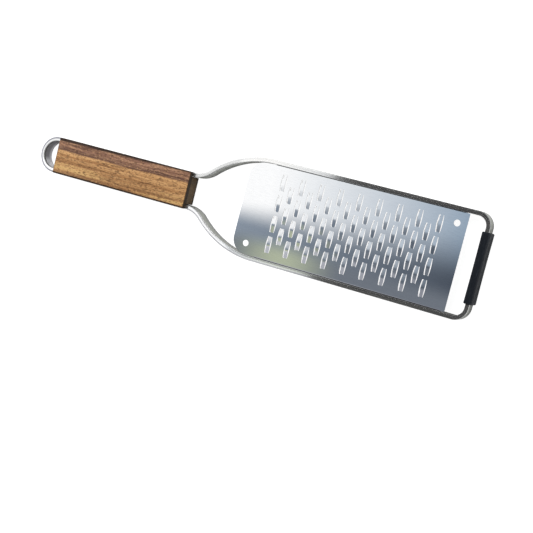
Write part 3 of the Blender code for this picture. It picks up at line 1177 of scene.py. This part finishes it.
    def fold(self, shape: bmesh.types.BMesh, side: Side) -> None:
        """Adds one long side of the sheet, turned down on a small radius.

        Args:
            shape: the mesh that is built.
            side: the side of the grater.
        """
        edge = self.high.y + self.lip_reach
        centre = (edge - self.fold_radius, self.surface - self.fold_radius)
        outer = arc(centre, self.fold_radius, QUARTER_TURN, 0.0, self.fold_steps)
        outer += [Vector((edge, self.low.z))]
        inner = [Vector((edge - self.thickness, self.low.z))]
        inner += arc(centre, self.fold_radius - self.thickness, 0.0, QUARTER_TURN, self.fold_steps)
        section = [(side.value * point.x, point.y) for point in outer + inner]
        rings = [[shape.verts.new((x, y, z)) for y, z in section] for x in self._fold_ends()]
        bridge(shape, *rings)
        for ring in rings:
            facing = ring[::-1]
            for quad in zip(ring, ring[1 : len(outer)], facing[1:], facing):
                shape.faces.new(quad)

    def mesh(self) -> bpy.types.Mesh:
        """Makes the sheet with its ribbons and folds.

        Returns:
            The mesh.
        """
        hole_y = self.high.y - self.hole_edge_inset
        inputs = {
            "Surface": self.surface,
            "Thickness": self.thickness,
            "Ribbon Length": self.ribbon_length,
            "Ribbon Width": self.ribbon_width,
            "Ribbon Thickness": self.ribbon_thickness,
            "Ribbon Rise": self.ribbon_rise,
            "Ribbon Bevel Drop": self.bevel_drop,
            "Narrowing": self.narrowing,
            "Rear Slot": self.rear_slot,
            "Tip Slot": self.tip_slot,
            "Row Pitch": self.row_pitch,
            "Column Pitch": self.column_pitch,
            "Long Rows": self.long_rows,
            "Long Columns": self.long_columns,
            "Last Ribbon": self.high.x - self.tip_margin,
            "Hole Radius": self.hole_radius,
            "Rear Hole": (self.low.x + self.hole_rear_inset, -hole_y, 0.0),
            "Tip Hole": (self.high.x - self.hole_tip_inset, hole_y, 0.0),
            "Material": self.material,
        }
        graph = GeometryGraph("ribbon_sheet", inputs)
        middles = graph.together(self._middles(graph, 0), self._middles(graph, 1))
        ribbons = graph.copies(middles, self._ribbon(graph))
        sheet = graph.together(self._sheet(graph, middles), ribbons)
        mesh = graph.grown(self.name, outline_mesh("sheet_ring", self.outline(), 0.0), sheet)
        shape = bmesh.new()
        shape.from_mesh(mesh)
        for side in Side:
            self.fold(shape, side)
        return written(shape, mesh)


@dataclass
class WoodHandle(Piece):
    """The walnut block between the bars, with its front flange."""

    name: str = "walnut_handle"
    node: str = "wood_handle"
    slot: Slot = Slot.WALNUT
    finish: Finish = Walnut()
    sharp_angle: float = 40.0
    core_half_width: float = 0.0094
    flange_under: float = 0.0112
    edge_radius: float = 0.00045
    edge_steps: int = 4

    def mesh(self) -> bpy.types.Mesh:
        """Makes the block and rounds its outer edges.

        Returns:
            The mesh.
        """
        low, high = self.low, self.high
        core, under = self.core_half_width, self.flange_under
        half = [(core, low.z), (core, under), (high.y, under), (high.y, high.z)]
        section = half + [(-y, z) for y, z in reversed(half)]
        shape = bmesh.new()
        weight = shape.edges.layers.float.new("bevel_weight_edge")
        ends = [[shape.verts.new((x, y, z)) for y, z in section] for x in (low.x, high.x)]
        bridge(shape, *ends)
        for ring in ends:
            shape.faces.new(ring)
        bmesh.ops.recalc_face_normals(shape, faces=shape.faces)
        for edge in shape.edges:
            edge[weight] = 1.0 if edge.is_convex else 0.0
        host = linked(self.name, written(shape, bpy.data.meshes.new("handle_block")))
        bevel = host.modifiers.new("Rounded edges", "BEVEL")
        bevel.width = self.edge_radius
        bevel.segments = self.edge_steps
        bevel.limit_method = "WEIGHT"
        return applied(host)


@dataclass
class RubberFoot(Piece):
    """The black sleeve on the tip bar."""

    name: str = "rubber_sleeve"
    node: str = "rubber_foot"
    slot: Slot = Slot.BLACK_RUBBER
    finish: Finish = BlackRubber()
    sharp_angle: float = 50.0
    wall: float = 0.0014
    clearance: float = 0.0003
    edge_radius: float = 0.0013
    corner_steps: int = 6
    end_roll: float = 0.0007
    roll_steps: int = 5
    waist: float = 0.00012
    waist_shares: tuple[float, ...] = (0.9, 0.6, 0.3, 0.0)

    def _stations(self, half_length: float) -> list[Span]:
        """Places along the sleeve, with rolled ends and a slight waist.

        Args:
            half_length: half the sleeve's length.

        Returns:
            The place and the inset of each ring.
        """
        turns = [QUARTER_TURN * step / self.roll_steps for step in range(self.roll_steps + 1)]
        roll = self.end_roll
        near = [(half_length - roll * (1 - math.cos(turn)), roll * (1 - math.sin(turn))) for turn in turns]
        near += [(half_length * share, self.waist * (1 - share * share)) for share in self.waist_shares]
        return near + [(-y, inset) for y, inset in reversed(near[:-1])]

    def _rectangle(self, half_x: float, half_z: float, radius: float) -> list[Vector]:
        """A rectangle with round corners about the origin.

        Args:
            half_x: half its width.
            half_z: half its height.
            radius: its corner radius.

        Returns:
            Its points.
        """
        points: list[Vector] = []
        for turn, (side_x, side_z) in enumerate(((1, 1), (-1, 1), (-1, -1), (1, -1))):
            centre = (side_x * (half_x - radius), side_z * (half_z - radius))
            start = turn * QUARTER_TURN
            points += arc(centre, radius, start, start + QUARTER_TURN, self.corner_steps)
        return points

    def mesh(self) -> bpy.types.Mesh:
        """Makes the sleeve with its bore.

        Returns:
            The mesh.
        """
        middle, half = (self.low + self.high) / 2, (self.high - self.low) / 2
        skins = [(y, inset, self.edge_radius) for y, inset in self._stations(half.y)]
        skins += [(y, self.wall - self.clearance, self.clearance) for y in (-half.y, half.y)]
        shape = bmesh.new()
        rings = []
        for y, inset, radius in skins:
            points = self._rectangle(half.x - inset, half.z - inset, radius)
            rings.append([shape.verts.new((middle.x + x, middle.y + y, middle.z + z)) for x, z in points])
        for first, second in zip(rings, rings[1:] + rings[:1]):
            bridge(shape, first, second)
        return written(shape, bpy.data.meshes.new(self.name))


# Studio


@dataclass
class Camera:
    """The photograph's viewpoint, in the part's own axes."""

    position: Point = (0.3140, 0.0281, 0.6978)
    right: Point = (0.88626, 0.24513, -0.39301)
    up: Point = (-0.25827, 0.96587, 0.02002)
    back: Point = (0.38451, 0.08376, 0.91932)
    lens: float = 77.67

    def build(self) -> None:
        """Adds the camera to the scene."""
        camera = linked("camera", bpy.data.cameras.new("camera"))
        camera.data.lens = self.lens
        turn = Matrix((self.right, self.up, self.back)).transposed().to_4x4()
        camera.matrix_world = Matrix.Translation(self.position) @ turn
        bpy.context.scene.camera = camera


@dataclass
class Floor:
    """A wide pale floor that looks near white and throws back plain soft light."""

    size: float = 24.0
    level: float = -0.0002
    seen_tone: Colour = (0.32, 0.32, 0.32)
    lit_tone: Colour = (0.78, 0.78, 0.78)
    glow_tone: Colour = (1.0, 1.0, 1.0)
    glow: float = 0.92
    roughness: float = 0.9

    def shader(self, graph: ShaderGraph) -> Wire:
        """The shader, which differs for the camera's own rays.

        Args:
            graph: the material's graph.

        Returns:
            The shader.
        """
        plain = {"Roughness": self.roughness, "Specular IOR Level": 0.0}
        glowing = {"Emission Color": (*self.glow_tone, 1.0), "Emission Strength": self.glow}
        seen = graph.principled(plain | glowing | {"Base Color": (*self.seen_tone, 1.0)})
        lit = graph.principled(plain | {"Base Color": (*self.lit_tone, 1.0)})
        direct = graph.node("ShaderNodeLightPath", output="Is Camera Ray")
        return graph.node("ShaderNodeMixShader", values={0: direct, 1: lit, 2: seen})

    def build(self) -> None:
        """Adds the floor to the scene."""
        half = self.size / 2
        corners = [Vector(point) for point in ((-half, -half), (half, -half), (half, half), (-half, half))]
        mesh = outline_mesh("floor", corners, self.level, filled=True)
        show(mesh, new_material("pale_floor", self.shader))


@dataclass
class Sky:
    """The soft surroundings, bright behind the handle and beyond the tip, dark between.

    Places on it are given by their slope: how far they lie to the side for each metre up.
    """

    tint: Colour = (0.985, 0.992, 1.0)
    dark: float = 0.028
    least_height: float = 0.03
    white: float = 1.45
    white_lean: Span = (0.36, 0.46)
    white_turn: Span = (1.3, 2.6)
    least_x: float = 0.05
    shade: float = 0.97
    shade_start: Span = (0.34, 0.50)
    shade_end: Span = (0.9, 1.6)
    shade_rear_end: Span = (0.8, 1.3)
    tip_light: float = 0.8
    tip_lean: Span = (0.24, 0.40)
    rim_rear: float = 1.4
    rim_tip: float = 0.9
    rim_left: float = 0.85
    rim_right: float = 0.34
    rim_height: Span = (0.20, 0.45)
    to_left: Span = (-0.2, 0.4)
    to_rear: Span = (0.0, 0.3)
    to_ends: Span = (0.35, 0.85)

    def build(self) -> None:
        """Adds the world to the scene."""
        world = bpy.data.worlds.new("studio")
        world.use_nodes = True
        bpy.context.scene.world = world
        graph = ShaderGraph(world.node_tree)
        x, y, z = graph.parts(graph.node("ShaderNodeTexCoord", output="Generated"))
        height = z.at_least(self.least_height)
        lean, right = -x / height, -y / height
        turned = abs(y) / abs(x).at_least(self.least_x)
        white = lean.ease(self.white_lean) * (1.0 - turned.ease(self.white_turn))
        shade = right.ease(self.shade_start) * (1.0 - right.ease(self.shade_end))
        shade = shade * (1.0 - lean.ease(self.shade_rear_end))
        level = self.dark + white * (1.0 - shade * self.shade) * (self.white - self.dark)
        level = level + (-lean).ease(self.tip_lean) * self.tip_light
        rim_side = self.rim_right + y.ease(self.to_left) * (self.rim_left - self.rim_right)
        rim_end = self.rim_tip + (-x).ease(self.to_rear) * (self.rim_rear - self.rim_tip)
        rim = rim_side + abs(x).ease(self.to_ends) * (rim_end - rim_side)
        level = level + (rim - level) * (1.0 - z.ease(self.rim_height))
        light = graph.node("ShaderNodeBackground", values={"Color": (*self.tint, 1.0), "Strength": level})
        graph.make("ShaderNodeOutputWorld", {}, {"Surface": light})


@dataclass(frozen=True)
class Card:
    """A flat lit card, level over the grater, given by the places on the blade that mirror it."""

    name: str
    x_range: Span
    y_range: Span
    blade_only: bool


@dataclass
class MirrorCards:
    """The lit cards whose soft picture the bright blade mirrors.

    In the picture, share runs from 0 at the blade's rear to 1 at its tip, and down from 0 to 1 across it.
    """

    blade_surface: float = 0.0103
    eye: Point = (0.3140, 0.0281, 0.6875)
    rise: float = 0.040
    rear: float = -0.005
    split: float = 0.057
    tip: float = 0.175
    reach: Span = (-0.13, 0.13)
    blade_length: float = 0.149
    blade_width: float = 0.0618
    share_start: float = 0.0072
    share_most: float = 1.1

    white: Colour = (1.36, 1.35, 1.34)
    pale_blue: Colour = (0.30, 0.42, 0.56)
    white_end: float = 0.12
    blue_run: float = 0.98
    shade_rear: Colour = (0.33, 0.39, 0.47)
    shade_tip: Colour = (0.095, 0.115, 0.150)
    shade_start: float = 0.435
    shade_lean: float = 0.32
    shade_full: float = 0.71
    lift: Colour = (0.212, 0.237, 0.278)
    olive: Colour = (0.58, 0.63, 0.46)
    olive_share: float = 0.24
    olive_reach: float = 0.30
    low_part: Span = (0.72, 0.93)
    beyond: Span = (1.005, 1.04)
    beyond_rear: Colour = (0.72, 0.73, 0.78)
    beyond_tip: Colour = (0.30, 0.31, 0.36)
    bar_strip: Colour = (0.80, 0.81, 0.85)
    strip_share: Span = (0.24, 0.44)
    strip_down: Span = (1.065, 1.105)

    def cards(self) -> tuple[Card, Card]:
        """The rear card, which all see, and the tip card for the blade alone."""
        rear = Card("card_rear", (self.rear, self.split), self.reach, blade_only=False)
        return rear, Card("card_tip", (self.split, self.tip), self.reach, blade_only=True)

    @property
    def spread(self) -> float:
        """The growth of the mirrored picture from the blade to the cards."""
        return 1.0 + self.rise / self.eye[2]

    def corners(self, card: Card) -> list[Vector]:
        """The card's corners, where the camera's rays mirrored by the blade meet it.

        Args:
            card: the card.

        Returns:
            The four corners in the plane of the cards.
        """
        shift = Vector(self.eye[:2]) * (self.spread - 1.0)
        (x0, x1), (y0, y1) = card.x_range, card.y_range
        places = ((x0, y0), (x1, y0), (x1, y1), (x0, y1))
        return [Vector(place) * self.spread - shift for place in places]

    def shader(self, graph: ShaderGraph) -> Wire:
        """The cards' light, from white over the handle to blue-grey over the tip.

        Args:
            graph: the card's graph.

        Returns:
            The shader.
        """
        x, y, _ = graph.place()
        blade_x = (x + self.eye[0] * (self.spread - 1.0)) / self.spread
        blade_y = (y + self.eye[1] * (self.spread - 1.0)) / self.spread
        share = (blade_x / self.blade_length + self.share_start).at_least(0.0).at_most(self.share_most)
        down = 0.5 - blade_y / self.blade_width
        blue = (share - self.white_end).at_least(0.0) / self.blue_run
        start = self.shade_start - share * self.shade_lean
        shaded = ((down - start) / (self.shade_full - start)).ease(ZERO_TO_ONE)
        shade = share.mix(self.shade_rear, self.shade_tip)
        tone = shaded.mix(blue.mix(self.white, self.pale_blue), shade)
        bulge = (1.0 - abs(share - self.olive_share) / self.olive_reach).at_least(0.0)
        low = bulge.ease(ZERO_TO_ONE).mix(self.lift, self.olive)
        tone = down.ease(self.low_part).mix(tone, low)
        strip = (1.0 - share.ease(self.strip_share)) * (1.0 - down.ease(self.strip_down))
        beyond = strip.mix(share.mix(self.beyond_rear, self.beyond_tip), self.bar_strip)
        picture = down.ease(self.beyond).mix(tone, beyond)
        return graph.node("ShaderNodeEmission", values={"Color": picture, "Strength": 1.0})

    def build(self, blade: bpy.types.Object) -> None:
        """Adds the cards.

        Args:
            blade: the blade, which alone is lit by the tip card.
        """
        only_blade = bpy.data.collections.new("blade_only")
        only_blade.objects.link(blade)
        for card in self.cards():
            mesh = outline_mesh(card.name, self.corners(card), self.blade_surface + self.rise, filled=True)
            lit = show(mesh, new_material(f"{card.name}_picture", self.shader))
            lit.visible_camera = False
            lit.visible_diffuse = False
            lit.visible_shadow = False
            lit.visible_transmission = False
            if card.blade_only:
                lit.light_linking.receiver_collection = only_blade


@dataclass
class SoftBox:
    """A large soft lamp that lights wood, rubber and floor but isn't mirrored."""

    position: Point = (-0.25, 0.35, 0.9)
    size: float = 0.7
    power: float = 9.0

    def build(self) -> None:
        """Adds the lamp to the scene, turned to the origin."""
        lamp = linked("softbox", bpy.data.lights.new("softbox", "AREA"))
        lamp.data.shape = "SQUARE"
        lamp.data.size = self.size
        lamp.data.energy = self.power
        turn = (-Vector(self.position)).to_track_quat("-Z", "Y").to_matrix().to_4x4()
        lamp.matrix_world = Matrix.Translation(self.position) @ turn
        lamp.visible_glossy = False


def main() -> None:
    """Builds the grater and its studio."""
    logging.basicConfig(level=logging.INFO, format="%(name)s: %(message)s")
    bpy.context.scene.view_settings.view_transform = "Standard"
    shown: dict[str, bpy.types.Object] = {}
    for piece in (FrameLoop(), GratingBlade(), WoodHandle(), RubberFoot()):
        shown[piece.name] = piece.build()
        faces = len(shown[piece.name].data.polygons)
        LOG.info("%s stands for %s: %d faces", piece.name, piece.node, faces)
    Camera().build()
    Floor().build()
    Sky().build()
    MirrorCards().build(shown["etched_blade"])
    SoftBox().build()


if __name__ == "__main__":
    main()
